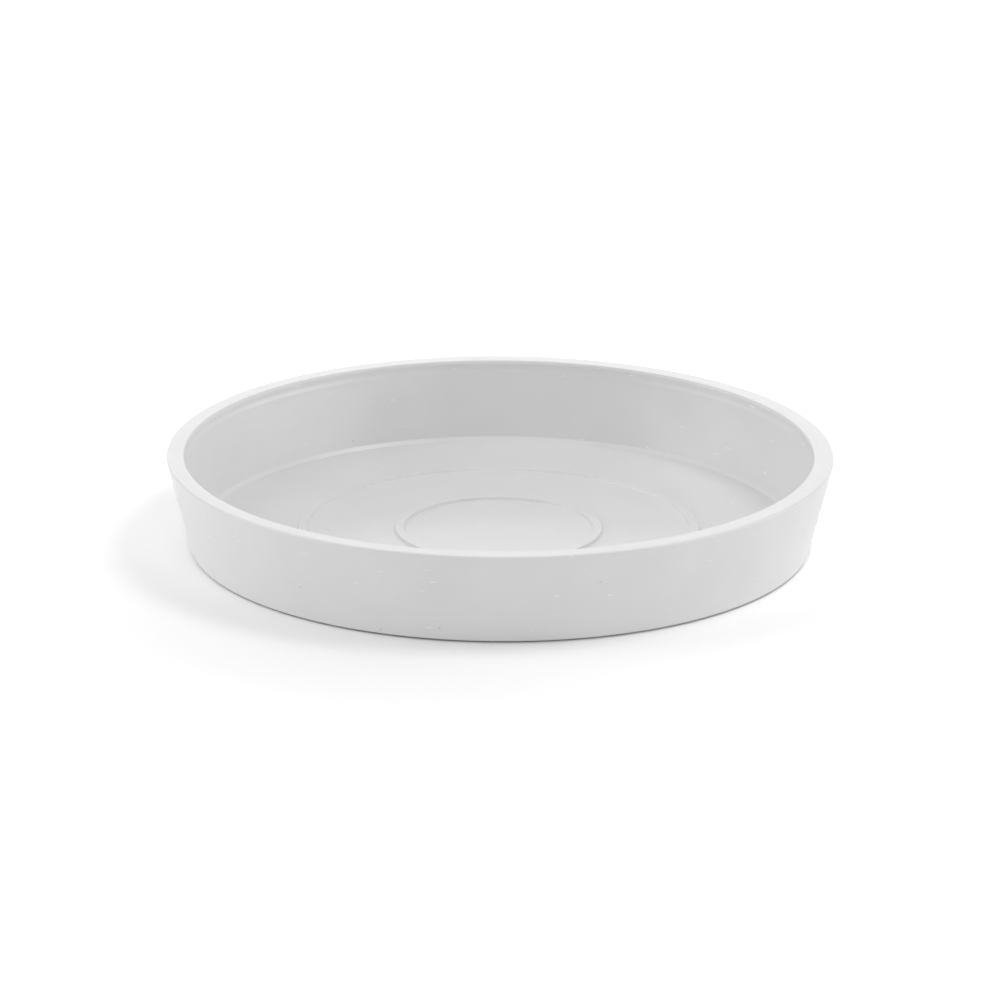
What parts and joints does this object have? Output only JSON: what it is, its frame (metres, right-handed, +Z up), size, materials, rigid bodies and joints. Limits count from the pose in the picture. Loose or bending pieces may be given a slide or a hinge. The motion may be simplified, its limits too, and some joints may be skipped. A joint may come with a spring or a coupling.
{
  "type": "plant saucer",
  "caption": "Round plant saucer: a shallow thick-walled dish with a flared wall, a flat rim and two low rings on its floor, standing on small stick-on foot pads.",
  "frame": {"origin": "centre of the dish, on the surface that the foot pads stand on", "axes": "+Z up along the dish's round axis; +X to the right and +Y to the back as the picture shows it"},
  "size_m": [0.208, 0.208, 0.0295],
  "materials": {
    "dish_plastic": "pale grey-white moulded plastic, satin, with a faint mottle",
    "pad_rubber": "dark soft rubber, matte",
    "pad_adhesive": "milky acrylic adhesive film"
  },
  "bodies": {
    "root": {"saucer_dish": "dish_plastic", "foot_pad_1": "pad_rubber", "foot_pad_2": "pad_rubber", "foot_pad_3": "pad_rubber", "foot_pad_4": "pad_rubber", "pad_adhesive_1": "pad_adhesive", "pad_adhesive_2": "pad_adhesive", "pad_adhesive_3": "pad_adhesive", "pad_adhesive_4": "pad_adhesive"}
  },
  "joints": []
}
